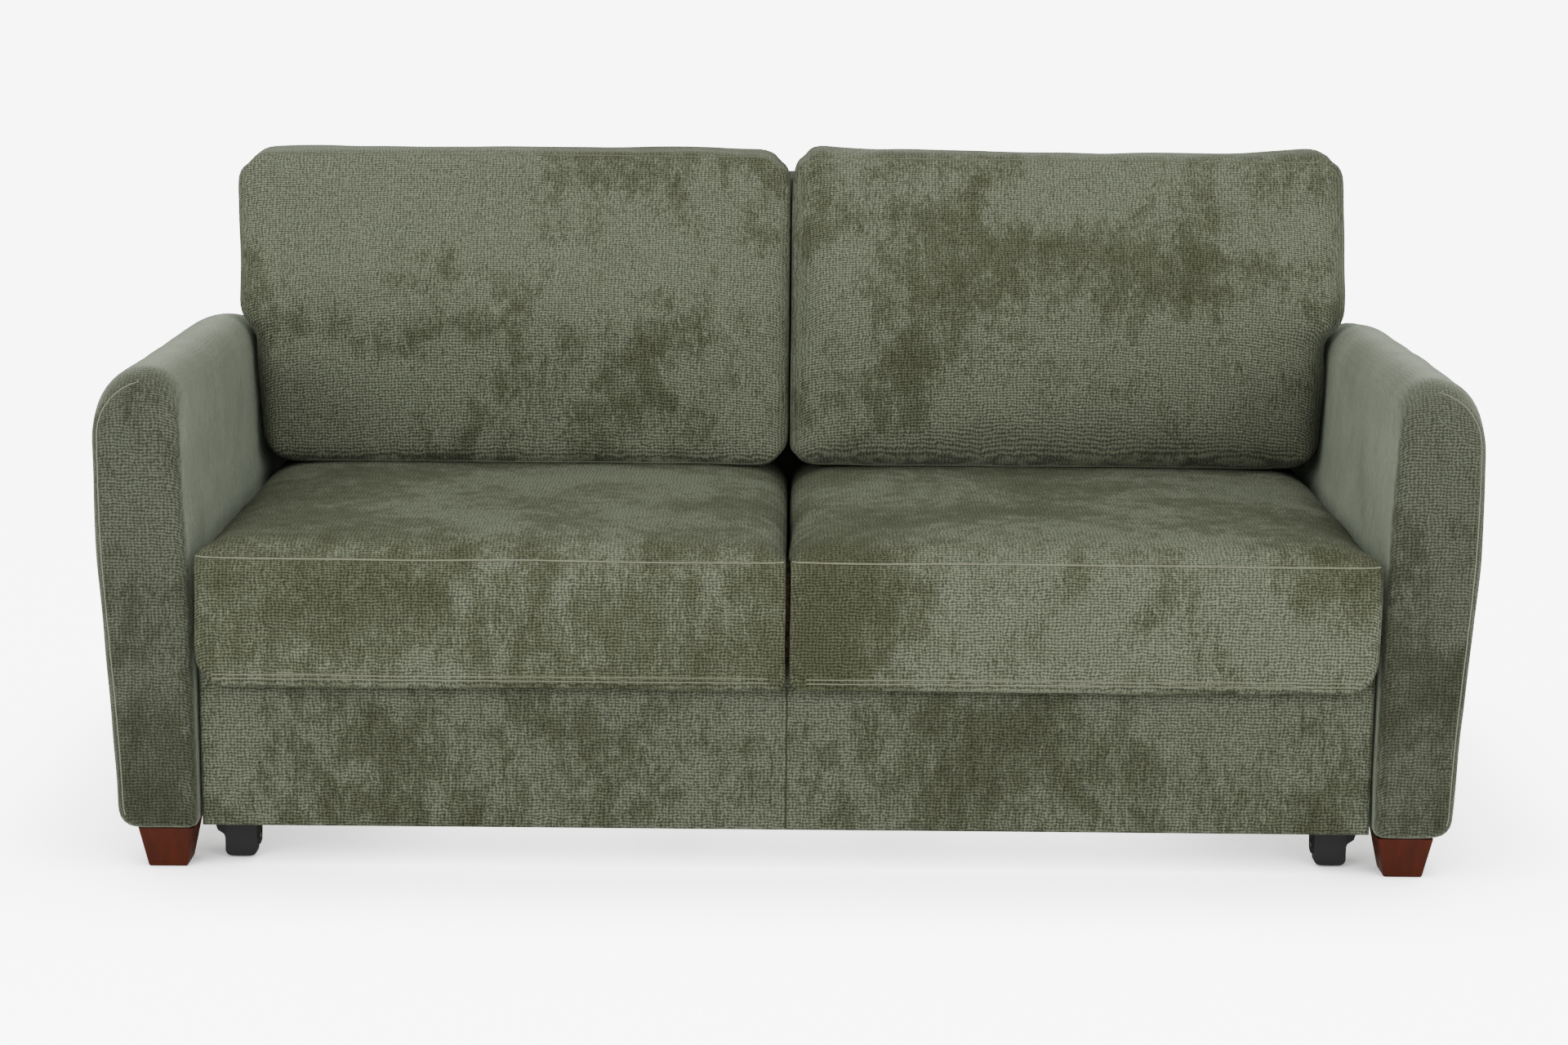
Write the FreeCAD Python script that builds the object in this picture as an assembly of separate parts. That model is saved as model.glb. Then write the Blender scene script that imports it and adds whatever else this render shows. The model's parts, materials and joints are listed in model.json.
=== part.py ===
"""Two-seat fold-out sofa bed with an accordion bed mechanism.

The seat rolls forward on four black roller legs.  Two sprung leaves, folded upright behind the
loose back cushions, unfold behind it and make one flat bed between the arms.
Frame: +X to the sitter's left-hand side seen from the front (right in a front view), -Y is the
front, +Z is up.  The origin is on the floor at the middle of the sofa.  Millimetres.
"""
import FreeCAD
import Part
import math
import os

V = FreeCAD.Vector
os.makedirs("parts", exist_ok=True)

# ---------------------------------------------------------------- driving dimensions
WIDTH = 1886.0            # over the arms
DEPTH = 1050.0            # seat front to the rear of the back panel
FRONT = -DEPTH / 2
REAR = DEPTH / 2
FOOT_H = 58.0             # clear height under the arms
ARM_TOP = 700.0
ARM_IN = 812.0            # arm's inner face from the centre, at seat level
ARM_IN_TOP = 824.0        # the same face below the rounded top
ARM_OUT = WIDTH / 2
ARM_OUT_BOTTOM = 925.0
ARM_FRONT = FRONT + 16
ARM_PAD = 28.0            # wadding and cover over the arm's timber
ARM_BOLTS_Y = (-360.0, 60.0, 400.0)
ARM_BOLT_Z = 112.0
FOOT_X = 856.0
FOOT_Y_FRONT = FRONT + 62.0
FOOT_Y_REAR = REAR - 66.0
SEAT_TOP = 458.0          # bed and seat surface
SEAT_SEAM = 440.0         # top of the seat cushion's front face
LIP_BOTTOM = 261.0        # lower edge of the seat cushion's front lip
LIP_T = 34.0
LEAF_L = 500.0            # from the top hinge to the lower hinge, along the leaf
LEAF_RISE = 35.5          # lower hinge above the leaf's tube centre, when flat
LEAF_ANGLE = 87.0         # each leaf's slope when folded up
PIVOT_Z = 403.0           # height of both lower hinges
TUBE = 25.0               # leaf tube section
SLAT_T = 8.0
PAD_T = 70.0              # leaf mattress thickness
BACK_TOP = 955.0          # top of the back cushions
BACK_LOW = 464.0
CUSHION_OUT = 850.0       # above the arms, from the centre
CUSHION_T = 165.0
SEAT_REAR = 238.0         # rear end of the seat cushions
P1_Y = SEAT_REAR + 57.0
PIN_R = 5.0
PIN_GAP = 0.06            # running clearance on the hinge pins
WHEEL_R = 21.0
WHEEL_W = 18.0

ang = math.radians(LEAF_ANGLE)
HALF_GAP = LEAF_L * math.cos(ang) + LEAF_RISE * math.sin(ang)
P2_Y = P1_Y + HALF_GAP
P0_Y = P1_Y + 2 * HALF_GAP
P2_Z = PIVOT_Z + LEAF_L * math.sin(ang) - LEAF_RISE * math.cos(ang)

PANEL_FRONT = P0_Y + 60.0
PANEL_TOP = 880.0
RAIL_1 = (740.0, 765.0)   # front leaf's side tubes, from the centre
RAIL_2 = (770.0, 795.0)   # rear leaf's side tubes
LEG_X = 700.0             # swinging support leg's tubes
LEG_R = 8.0
LEG_PLANE = -5.0          # leg centre behind the leaf's tube centre
LEG_FROM_TOP = 60.0
ROLLER_X = 758.0
FASCIA_FRONT = FRONT + 38.0
FRONT_WHEEL_Y = FRONT + 124.0
REAR_WHEEL_Y = 165.0


# ---------------------------------------------------------------- helpers
def box(x0, x1, y0, y1, z0, z1):
    return Part.makeBox(x1 - x0, y1 - y0, z1 - z0, V(x0, y0, z0))


def rod(x0, x1, y, z, r):
    """Round bar along X."""
    return Part.makeCylinder(r, x1 - x0, V(x0, y, z), V(1, 0, 0))


def upright(x, y, z0, z1, r):
    return Part.makeCylinder(r, z1 - z0, V(x, y, z0), V(0, 0, 1))


def prism(points, direction):
    """Solid from a closed outline and an extrusion vector."""
    wire = Part.makePolygon(points + [points[0]])
    return Part.Face(wire).extrude(direction)


def mirror(shape):
    return shape.mirror(V(0, 0, 0), V(1, 0, 0))


def both(shape):
    return Part.makeCompound([shape, mirror(shape)])


def save(name, shape):
    solids = shape.Solids
    for s in solids:
        if not s.isValid() or s.Volume <= 0:
            raise SystemExit("bad solid in " + name)
    out = solids[0] if len(solids) == 1 else Part.makeCompound(solids)
    out.exportStep("parts/" + name + ".step")


def side_nodes(name, shape):
    """Right-hand piece as drawn, left-hand piece mirrored."""
    save(name + "_right", shape)
    save(name + "_left", mirror(shape))


# ---------------------------------------------------------------- arms
def rounded_outline(points, radii):
    """Closed YZ or XZ outline with an arc of the given radius at each corner."""
    edges = []
    n = len(points)
    ends = []
    for i in range(n):
        p, a, b = points[i], points[i - 1], points[(i + 1) % n]
        u, w = (a - p).normalize(), (b - p).normalize()
        r = radii[i]
        if r <= 0:
            ends.append((p, p, None))
            continue
        half = u.getAngle(w) / 2
        t = r / math.tan(half)
        start, stop = p + u * t, p + w * t
        centre = p + (u + w).normalize() * (r / math.sin(half))
        middle = centre + (p - centre).normalize() * r
        ends.append((start, stop, middle))
    for i in range(n):
        start, stop, middle = ends[i]
        if middle is not None:
            edges.append(Part.Arc(start, middle, stop).toShape())
        after = ends[(i + 1) % n][0]
        if (after - stop).Length > 1e-6:
            edges.append(Part.LineSegment(stop, after).toShape())
    return Part.Wire(edges)


def arm_body(grow=0.0, base=FOOT_H):
    """Rounded arm; grow below zero gives the cavity inside its padding."""
    g = grow
    section = [
        V(ARM_IN - g, FRONT - 50, base),
        V(ARM_IN - g, FRONT - 50, SEAT_SEAM),
        V(ARM_IN_TOP - g, FRONT - 50, ARM_TOP + g),
        V(ARM_OUT + g, FRONT - 50, ARM_TOP - 6 + g),
        V(ARM_OUT + g, FRONT - 50, 520),
        V(ARM_OUT_BOTTOM + g, FRONT - 50, base),
    ]
    top_r = max(52.0 + g, 6.0)
    foot_r = 22.0 if g == 0 else 0
    across = rounded_outline(section, [0, 0, top_r, top_r, 200, foot_r])
    solid = Part.Face(across).extrude(V(0, DEPTH + 100, 0))
    side = [
        V(700, ARM_FRONT - g, base),
        V(700, ARM_FRONT - g, ARM_TOP + g),
        V(700, FRONT + 620, ARM_TOP + g),
        V(700, REAR + g, ARM_TOP - 70 + g),
        V(700, REAR + g, base),
    ]
    along = rounded_outline(side, [0, max(38 + g, 6.0), 220, max(50 + g, 6.0), 0])
    return solid.common(Part.Face(along).extrude(V(400, 0, 0)))


def make_arms():
    pad = ARM_PAD
    cavity = arm_body(-pad, FOOT_H)
    cover = arm_body().cut(cavity)
    # bolts from the base rails pass the padding into the frame
    for y in ARM_BOLTS_Y:
        cover = cover.cut(rod(ARM_IN - 5, ARM_IN + pad + 1, y, ARM_BOLT_Z, 4.5))
    side_nodes("arm_cover", cover)
    side_nodes("arm_frame", arm_frame(pad))


def foot_screw_holes():
    holes = []
    for y in (FOOT_Y_FRONT, FOOT_Y_REAR):
        holes.append(upright(FOOT_X, y, FOOT_H - 1, FOOT_H + 19, 4.2))
        holes.append(upright(FOOT_X, y, FOOT_H + 13, FOOT_H + 20, 9.3))
    return holes[0].multiFuse(holes[1:])


def arm_frame(pad):
    """Timber ladder inside the arm: posts, top rail and bolt rail."""
    x0, x1 = ARM_IN + pad + 14, ARM_OUT_BOTTOM - pad - 4
    y0, y1 = ARM_FRONT + pad + 4, REAR - pad - 4
    low, top = FOOT_H + 18, 560.0
    pieces = [box(x0, x1, y, y + 40, low, top) for y in (y0, -20, y1 - 40)]
    pieces.append(box(x0, x1, y0, y1, top - 40, top))
    pieces.append(box(x0, x1, y0, y1, low, low + 80))
    board = box(ARM_IN + pad, ARM_OUT_BOTTOM - pad, ARM_FRONT + pad, REAR - pad, FOOT_H, low)
    pieces.append(board)
    frame = pieces[0].multiFuse(pieces[1:]).removeSplitter()
    holes = [rod(x0 - 1, x1 + 1, y, ARM_BOLT_Z, 4.2) for y in ARM_BOLTS_Y]
    return frame.cut(Part.makeCompound(holes)).cut(foot_screw_holes())


def make_feet():
    """Four tapered timber blocks, each held by one screw from inside the arm."""
    top, bottom = 38.5, 27.0
    for end, y in (("front", FOOT_Y_FRONT), ("rear", FOOT_Y_REAR)):
        def ring(h, z):
            pts = [V(FOOT_X - h, y - h, z), V(FOOT_X + h, y - h, z),
                   V(FOOT_X + h, y + h, z), V(FOOT_X - h, y + h, z)]
            return Part.makePolygon(pts + [pts[0]])
        foot = Part.makeLoft([ring(bottom, 0), ring(top, FOOT_H)], True)
        low = [e for e in foot.Edges if e.BoundBox.ZMax < 1 or e.BoundBox.ZLength > 50]
        foot = foot.makeFillet(4.0, low)
        foot = foot.cut(upright(FOOT_X, y, 18, FOOT_H + 1, 4.2))
        side_nodes("foot_" + end, foot)
    screws = []
    for y in (FOOT_Y_FRONT, FOOT_Y_REAR):
        shank = upright(FOOT_X, y, 20, FOOT_H + 13, 4.2)
        head = upright(FOOT_X, y, FOOT_H + 13, FOOT_H + 18, 9)
        screws.append(shank.fuse(head).removeSplitter())
    save("foot_screws", both(Part.makeCompound(screws)))


# ---------------------------------------------------------------- fixed base
RAIL_X = (798.0, 810.0)
POST_X = (799.0, 805.0)
CROSS_Y = (REAR - 92.0, REAR - 56.0)


def make_base():
    rail = box(RAIL_X[0], RAIL_X[1], FRONT + 85, PANEL_FRONT - 2, 64, 150)
    for y in ARM_BOLTS_Y:
        rail = rail.cut(rod(RAIL_X[0] - 1, RAIL_X[1] + 1, y, ARM_BOLT_Z, 4.2))
    side_nodes("base_rail", rail)
    post = prism([V(POST_X[0], P0_Y - 45, 150), V(POST_X[0], P0_Y - 16, PIVOT_Z + 14),
                  V(POST_X[0], P0_Y + 16, PIVOT_Z + 14), V(POST_X[0], P0_Y + 45, 150)],
                 V(POST_X[1] - POST_X[0], 0, 0))
    post = post.cut(rod(POST_X[0] - 1, POST_X[1] + 1, P0_Y, PIVOT_Z, PIN_R))
    side_nodes("hinge_post", post)
    bar = box(-RAIL_X[0], RAIL_X[0], CROSS_Y[0], CROSS_Y[1], 70, 110)
    hollow = box(-RAIL_X[0], RAIL_X[0], CROSS_Y[0] + 2.5, CROSS_Y[1] - 2.5, 72.5, 107.5)
    save("rear_crossbar", bar.cut(hollow))
    bolts = []
    for y in ARM_BOLTS_Y:
        shank = rod(RAIL_X[0], ARM_IN + 62, y, ARM_BOLT_Z, 4.0)
        head = rod(RAIL_X[0] - 4, RAIL_X[0], y, ARM_BOLT_Z, 8)
        bolts.append(shank.fuse(head).removeSplitter())
    save("arm_bolts", both(Part.makeCompound(bolts)))


# ---------------------------------------------------------------- back panel
def make_back_panel():
    x = ARM_IN - 3.0
    outer = box(-x, x, PANEL_FRONT, REAR, 66, PANEL_TOP)
    edges = [e for e in outer.Edges if e.BoundBox.ZMin > PANEL_TOP - 1]
    outer = outer.makeFillet(12.0, edges)
    t = 12.0
    cavity = box(-x + t, x - t, PANEL_FRONT + t, REAR - t, 66, PANEL_TOP - 25)
    save("back_cover", outer.cut(cavity))
    y0, y1 = PANEL_FRONT + t, REAR - t
    wide = x - t - 1
    z0, z1 = 66.0, PANEL_TOP - 26
    pieces = [box(-wide, -wide + 60, y0, y1, z0, z1), box(wide - 60, wide, y0, y1, z0, z1),
              box(-30, 30, y0, y1, z0, z1)]
    pieces += [box(-wide, wide, y0, y1, z, z + 60) for z in (z0, 420.0, z1 - 60)]
    save("back_frame", pieces[0].multiFuse(pieces[1:]).removeSplitter())


# ---------------------------------------------------------------- unfolding leaves
def leaf_frame(rail, sign):
    """Leaf frame lying flat, its top hinge at the origin, reaching towards sign * Y."""
    def strip(x0, x1, a, b, z0, z1):
        y0, y1 = sorted((sign * a, sign * b))
        return box(x0, x1, y0, y1, z0, z1)

    h = TUBE / 2
    ear = 14.0
    tube = strip(rail[0], rail[1], -ear, LEAF_L - 20, -h, h)
    lug_pts = [V(rail[0], sign * (LEAF_L - 60), -h), V(rail[0], sign * (LEAF_L - 60), h),
               V(rail[0], sign * (LEAF_L - ear), LEAF_RISE + ear),
               V(rail[0], sign * (LEAF_L + ear), LEAF_RISE + ear),
               V(rail[0], sign * (LEAF_L + ear), LEAF_RISE - ear),
               V(rail[0], sign * (LEAF_L - 20), -h)]
    lug = prism(lug_pts, V(rail[1] - rail[0], 0, 0))
    side = tube.fuse(lug).removeSplitter()
    bore = PIN_R + PIN_GAP
    top_bore = PIN_R if sign < 0 else bore
    side = side.cut(rod(rail[0] - 1, rail[1] + 1, 0, 0, top_bore))
    side = side.cut(rod(rail[0] - 1, rail[1] + 1, sign * LEAF_L, LEAF_RISE, bore))
    first = 30 if sign < 0 else 110
    cross = [strip(-rail[0], rail[0], a, a + 30, h - 8, h) for a in (first, 235, LEAF_L - 72)]
    return side, Part.makeCompound(cross)


def leaf_slats(rail, sign):
    slats, holders = [], []
    count, first, pitch, width = 6, 18.0, 73.5, 53.0
    for i in range(count):
        a = first + i * pitch
        y0, y1 = sorted((sign * a, sign * (a + width)))
        slats.append(box(-(rail[0] - 12), rail[0] - 12, y0 + 3, y1 - 3,
                         TUBE / 2 + 1, TUBE / 2 + 1 + SLAT_T - 2))
        holder = box(rail[0] - 40, rail[1] - 3, y0, y1, TUBE / 2, TUBE / 2 + SLAT_T)
        pocket = box(rail[0] - 41, rail[0] - 12, y0 + 3, y1 - 3,
                     TUBE / 2 + 1, TUBE / 2 + 1 + SLAT_T - 2)
        holders.append(holder.cut(pocket))
    return Part.makeCompound(slats), both(Part.makeCompound(holders))


def leaf_pad(sign):
    """Mattress of one leaf; its hinge end is a bullnose about the lower hinge."""
    z0, z1 = TUBE / 2 + SLAT_T, TUBE / 2 + SLAT_T + PAD_T
    r = z1 - LEAF_RISE
    half = ARM_IN - 20.0
    y0, y1 = sorted((sign * 3.0, sign * LEAF_L))
    block = box(-half, half, y0, y1, z0, z1)
    nose = rod(-half, half, sign * LEAF_L, LEAF_RISE, r)
    low = box(-half - 1, half + 1, -LEAF_L * 2, LEAF_L * 2, -400, z0)
    body = block.fuse(nose).removeSplitter().cut(low)
    y0, y1 = sorted((sign * (LEAF_L - 75), sign * (LEAF_L + 60)))
    room_top = z1 + 5 if sign < 0 else LEAF_RISE + 24
    lug_room = box(RAIL_1[0] - 16, half + 2, y0, y1, z0 - 5, room_top)
    return body.cut(lug_room).cut(mirror(lug_room))


def place(shape, sign):
    """Turns a flat leaf up to its folded position, about the top hinge."""
    out = shape.copy()
    out.rotate(V(0, 0, 0), V(1, 0, 0), LEAF_ANGLE if sign < 0 else -LEAF_ANGLE)
    out.translate(V(0, P2_Y, P2_Z))
    return out


def make_leaves():
    for name, rail, sign in (("front_leaf", RAIL_1, -1), ("rear_leaf", RAIL_2, 1)):
        side, cross = leaf_frame(rail, sign)
        side_nodes(name + "_rail", place(side, sign))
        save(name + "_crossbars", place(cross, sign))
        slats, holders = leaf_slats(rail, sign)
        save(name + "_slats", place(slats, sign))
        save(name + "_slat_holders", place(holders, sign))
        save(name + "_mattress", place(leaf_pad(sign), sign))
    # the top pins are fixed in the front leaf, the lower ones in the posts and the seat brackets
    top_pin = rod(RAIL_1[0], RAIL_2[1] + 2, P2_Y, P2_Z, PIN_R)
    head = rod(RAIL_1[0] - 5, RAIL_1[0], P2_Y, P2_Z, 9)
    save("top_hinge_pins", both(top_pin.fuse(head).removeSplitter()))
    low_pin = rod(RAIL_2[0] - 2, POST_X[1], P0_Y, PIVOT_Z, PIN_R)
    save("rear_hinge_pins", both(low_pin))
    front_pin = rod(BRACKET_X[0], RAIL_1[1] + 2, P1_Y, PIVOT_Z, PIN_R)
    save("front_hinge_pins", both(front_pin))


# ---------------------------------------------------------------- swinging support leg
def make_leg():
    """U-shaped leg hung inside the front leaf; it hangs plumb as the leaf goes down."""
    length = PIVOT_Z - LEAF_RISE - 3
    y = -LEG_FROM_TOP
    low = y - length
    z = LEG_PLANE
    tube = Part.makeCylinder(LEG_R, length - 6, V(LEG_X, low + 6, z), V(0, 1, 0))
    bar = rod(-LEG_X, LEG_X, low + 40, z, LEG_R - 2)
    eye = rod(LEG_X - 12, LEG_X + 12, y, z, 9)
    post = tube.fuse(eye).removeSplitter()
    post = post.cut(rod(LEG_X - 13, LEG_X + 13, y, z, 4 + PIN_GAP))
    side_nodes("support_leg", place(post, -1))
    save("support_leg_bar", place(bar.cut(tube).cut(mirror(tube)), -1))
    glide = box(LEG_X - 12, LEG_X + 12, low, low + 22, z - 11, z + 11)
    glide = glide.cut(tube)
    save("leg_glides", place(both(glide), -1))
    pin = rod(LEG_X - 24, RAIL_1[0], y, z, 4)
    lug = box(LEG_X - 24, LEG_X - 15, y - 14, y + 14, z - 8, TUBE / 2 - 8)
    lug = lug.cut(rod(LEG_X - 25, LEG_X - 14, y, z, 4))
    save("leg_pivots", place(both(pin.fuse(lug).removeSplitter()), -1))


# ---------------------------------------------------------------- rolling seat carriage
BOARD = 18.0
CAR_X = 793.0
CAR_Z0, CAR_Z1 = 96.0, 300.0
CAR_REAR = 230.0
BRACKET_X = (728.0, 736.0)


def make_carriage():
    front = FASCIA_FRONT + 20
    side = box(CAR_X - BOARD, CAR_X, front + BOARD, CAR_REAR, CAR_Z0, CAR_Z1)
    side_nodes("carriage_side", side)
    save("fascia_board", box(-CAR_X, CAR_X, front, front + BOARD, FOOT_H + 6, CAR_Z1))
    save("carriage_rear_rail",
         box(-(CAR_X - BOARD), CAR_X - BOARD, CAR_REAR - BOARD, CAR_REAR, CAR_Z0, CAR_Z1))
    save("carriage_middle_rail",
         box(-BOARD / 2, BOARD / 2, front + BOARD, CAR_REAR - BOARD, CAR_Z1 - 80, CAR_Z1))
    cover = box(-808, 808, FASCIA_FRONT, front, FOOT_H, CAR_Z1)
    edges = [e for e in cover.Edges if e.BoundBox.YMax < FASCIA_FRONT + 1]
    save("fascia_cover", cover.makeFillet(6.0, edges))
    slats = []
    count, pitch, width = 8, 84.0, 60.0
    for i in range(count):
        y = front + BOARD + 8 + i * pitch
        slats.append(box(-CAR_X, CAR_X, y, y + width, CAR_Z1, CAR_Z1 + 10))
    save("seat_slats", Part.makeCompound(slats))
    # cranked plates that carry the front leaf's lower hinge
    z = CAR_Z1 - 60
    plate = prism([V(BRACKET_X[0], CAR_REAR, z), V(BRACKET_X[0], CAR_REAR, CAR_Z1 - 4),
                   V(BRACKET_X[0], SEAT_REAR + 4, CAR_Z1 - 4),
                   V(BRACKET_X[0], P1_Y - 14, PIVOT_Z + 14), V(BRACKET_X[0], P1_Y + 14, PIVOT_Z + 14),
                   V(BRACKET_X[0], P1_Y + 14, PIVOT_Z - 16), V(BRACKET_X[0], CAR_REAR + 30, z)],
                  V(BRACKET_X[1] - BRACKET_X[0], 0, 0))
    plate = plate.cut(rod(BRACKET_X[0] - 1, BRACKET_X[1] + 1, P1_Y, PIVOT_Z, PIN_R))
    flange = box(BRACKET_X[0] - 50, BRACKET_X[0], CAR_REAR, CAR_REAR + 5, z, CAR_Z1 - 4)
    side_nodes("seat_hinge_bracket", plate.fuse(flange).removeSplitter())


def make_seat_cushions():
    """Two seat cushions; each front end hangs as a lip over the fascia."""
    gap, x1 = 2.0, ARM_IN - 4.0
    z0 = CAR_Z1 + 10.0
    outline = [V(gap, FRONT, LIP_BOTTOM), V(gap, FRONT, SEAT_SEAM + 20), V(gap, SEAT_REAR, SEAT_TOP),
               V(gap, SEAT_REAR, z0), V(gap, FRONT + LIP_T, z0), V(gap, FRONT + LIP_T, LIP_BOTTOM)]
    wire = rounded_outline(outline, [8, 40, 24, 0, 0, 8])
    cushion = Part.Face(wire).extrude(V(x1 - gap, 0, 0))
    side_nodes("seat_cushion", cushion)


def make_back_cushions():
    """Loose box cushions leaning on the front leaf."""
    lean = math.radians(90.0 - LEAF_ANGLE)
    pad_front = P1_Y - (TUBE / 2 + SLAT_T + PAD_T - LEAF_RISE) / math.cos(lean)

    def at(z, off):
        return V(3.0, pad_front + (z - PIVOT_Z) * math.tan(lean) - off, z)

    outline = [at(BACK_LOW, 1.0), at(BACK_TOP - 6, 1.0), at(BACK_TOP, 118.0), at(BACK_LOW, CUSHION_T)]
    wire = rounded_outline(outline, [30, 30, 30, 30])
    cushion = Part.Face(wire).extrude(V(CUSHION_OUT - 3.0, 0, 0))
    arm_room = box(ARM_IN - 4.0, CUSHION_OUT + 1, FRONT, REAR, BACK_LOW - 60, ARM_TOP + 12)
    side_nodes("back_cushion", cushion.cut(arm_room))


# ---------------------------------------------------------------- roller legs


def fork(y, tall):
    """Two cheeks and a top plate round one roller."""
    cheek_in, cheek_t = WHEEL_W / 2 + 1.5, 6.0
    parts = []
    for s in (-1, 1):
        x0, x1 = sorted((ROLLER_X + s * cheek_in, ROLLER_X + s * (cheek_in + cheek_t)))
        wire = rounded_outline([V(x0, y - 24, tall), V(x0, y - 14, 9), V(x0, y + 14, 9),
                                V(x0, y + 34, tall)], [0, 10, 10, 0])
        cheek = Part.Face(wire).extrude(V(x1 - x0, 0, 0))
        parts.append(cheek.cut(rod(x0 - 1, x1 + 1, y, WHEEL_R, 4.0)))
    x0, x1 = ROLLER_X - cheek_in - cheek_t, ROLLER_X + cheek_in + cheek_t
    parts.append(box(x0, x1, y - 24, y + 34, tall - 6, tall))
    parts.append(box(ROLLER_X - 22, CAR_X - BOARD, y - 44, y + 44, tall, tall + 50))
    return parts


def make_roller_legs():
    y = FRONT_WHEEL_Y
    parts = fork(y, CAR_Z0)
    # front blade seen below the fascia, and its swept outer wing
    x0, x1 = ROLLER_X - 18.5, ROLLER_X + 26.0
    blade = rounded_outline([V(x0, y - 44, CAR_Z0), V(x0, y - 44, 3), V(x1, y - 44, 3),
                             V(x1, y - 44, CAR_Z0)], [0, 9, 9, 0])
    parts.append(Part.Face(blade).extrude(V(0, 20, 0)))
    inner, outer = x1 - 3, ROLLER_X + 42
    wing = prism([V(inner, y - 30, CAR_Z0), V(outer - 17, y - 30, CAR_Z0), V(outer - 17, y - 30, 64),
                  V(outer, y - 30, 46), V(outer - 3, y - 30, 36), V(outer - 12, y - 30, 30),
                  V(outer - 15, y - 30, 20), V(inner, y - 30, 8)],
                 V(0, 6, 0))
    parts.append(wing)
    parts.append(box(x0, x1, y - 44, y - 24, CAR_Z0 - 6, CAR_Z0))
    leg = parts[0].multiFuse(parts[1:]).removeSplitter()
    side_nodes("roller_leg_front", leg)
    rear = fork(REAR_WHEEL_Y, CAR_Z0)
    side_nodes("roller_leg_rear", rear[0].multiFuse(rear[1:]).removeSplitter())
    axles = []
    for wy in (FRONT_WHEEL_Y, REAR_WHEEL_Y):
        axles.append(rod(ROLLER_X - 17, ROLLER_X + 17, wy, WHEEL_R, 4.0))
    save("roller_axles", both(Part.makeCompound(axles)))
    for end, wy in (("front", FRONT_WHEEL_Y), ("rear", REAR_WHEEL_Y)):
        wheel = rod(ROLLER_X - WHEEL_W / 2, ROLLER_X + WHEEL_W / 2, wy, WHEEL_R, WHEEL_R)
        rims = [e for e in wheel.Edges if e.Curve.TypeId == "Part::GeomCircle"]
        wheel = wheel.makeFillet(2.5, rims)
        wheel = wheel.cut(rod(ROLLER_X - 12, ROLLER_X + 12, wy, WHEEL_R, 4.0 + PIN_GAP))
        side_nodes("roller_" + end, wheel)


def main():
    make_arms()
    make_feet()
    make_base()
    make_back_panel()
    make_leaves()
    make_leg()
    make_carriage()
    make_seat_cushions()
    make_back_cushions()
    make_roller_legs()


main()
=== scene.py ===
import json
import math

import bmesh
import bpy
from mathutils import Matrix, Vector, noise
from mathutils.bvhtree import BVHTree


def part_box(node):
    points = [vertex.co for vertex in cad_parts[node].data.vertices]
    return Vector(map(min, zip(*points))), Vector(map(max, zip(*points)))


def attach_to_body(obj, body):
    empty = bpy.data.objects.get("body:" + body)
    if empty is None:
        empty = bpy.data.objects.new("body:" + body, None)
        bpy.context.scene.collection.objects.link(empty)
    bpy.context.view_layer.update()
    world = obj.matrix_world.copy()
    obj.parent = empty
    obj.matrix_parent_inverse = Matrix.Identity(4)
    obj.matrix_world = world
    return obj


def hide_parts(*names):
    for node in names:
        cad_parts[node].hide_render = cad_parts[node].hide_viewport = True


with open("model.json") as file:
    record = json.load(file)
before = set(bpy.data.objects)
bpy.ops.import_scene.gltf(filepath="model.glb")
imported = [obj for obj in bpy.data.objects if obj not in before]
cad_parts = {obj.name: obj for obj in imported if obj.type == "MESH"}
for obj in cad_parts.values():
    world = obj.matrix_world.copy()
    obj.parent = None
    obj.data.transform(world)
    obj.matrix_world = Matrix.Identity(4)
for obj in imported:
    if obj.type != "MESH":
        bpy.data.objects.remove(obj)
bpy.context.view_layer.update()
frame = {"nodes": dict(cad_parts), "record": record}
NODES = frame["nodes"]

# ---------------------------------------------------------------- sizes read from the frame
ARM_LOW, ARM_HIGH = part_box("arm_cover_right")
SEAT_LOW, SEAT_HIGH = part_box("seat_cushion_right")
BACK_LOW, BACK_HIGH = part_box("back_cushion_right")
FASCIA_LOW, FASCIA_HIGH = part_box("fascia_cover")
LEAF_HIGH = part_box("front_leaf_mattress")[1]
JOINTS = {j["name"]: j for j in frame["record"]["behaviour"]["joints"]}
SEAT_PIVOT = Vector(JOINTS["seat_glide"]["pos_m"])
LEAF_SLOPE = math.tan(math.radians(90.0 - JOINTS["bed_fold"]["range_deg"][1]))
SEAT_SEAM_Z = SEAT_HIGH.z - 0.018
LEAF_PAD_OUT = 0.0550     # the leaf mattress's face in front of its lower hinge
LEAF_GAP = 0.003          # between that face and the back cushions

# ---------------------------------------------------------------- sizes of the soft pieces, m
PANEL_INSET = 0.013       # back cushion's seam, in from the cushion's outline
PANEL_CORNER = 0.036
CUSHION_CORNER = 0.044
CUSHION_EDGE = 0.030
CUSHION_CROWN = (0.003, 0.030, 0.005)
CUSHION_DEPTH = 0.17
CUSHION_TAPER = 0.28      # share of its depth that a back cushion loses towards the top
BETWEEN_ARMS = ARM_LOW.x - 0.002
CUSHION_GAP = 0.001       # from the middle of the sofa to each back cushion
LIP_T = 0.033
SEAT_CROWN = 0.052
SEAT_BASE_Z = FASCIA_HIGH.z + 0.011
ARM_NOSE = 0.060          # radius that the arm's ridge turns down with at the front
ARM_TAIL = 0.050          # and at the rear
ARM_SLOPE_FROM = 0.09
ARM_DROP = 0.070
ARM_TURN = 0.016          # radius of the arm's end faces
ARM_SEAM_INSET = 0.009
CORD = 0.0009             # radius of the sewn seams
NO_LIMIT = 9.0            # for a side that a cushion's dents can't reach


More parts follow.
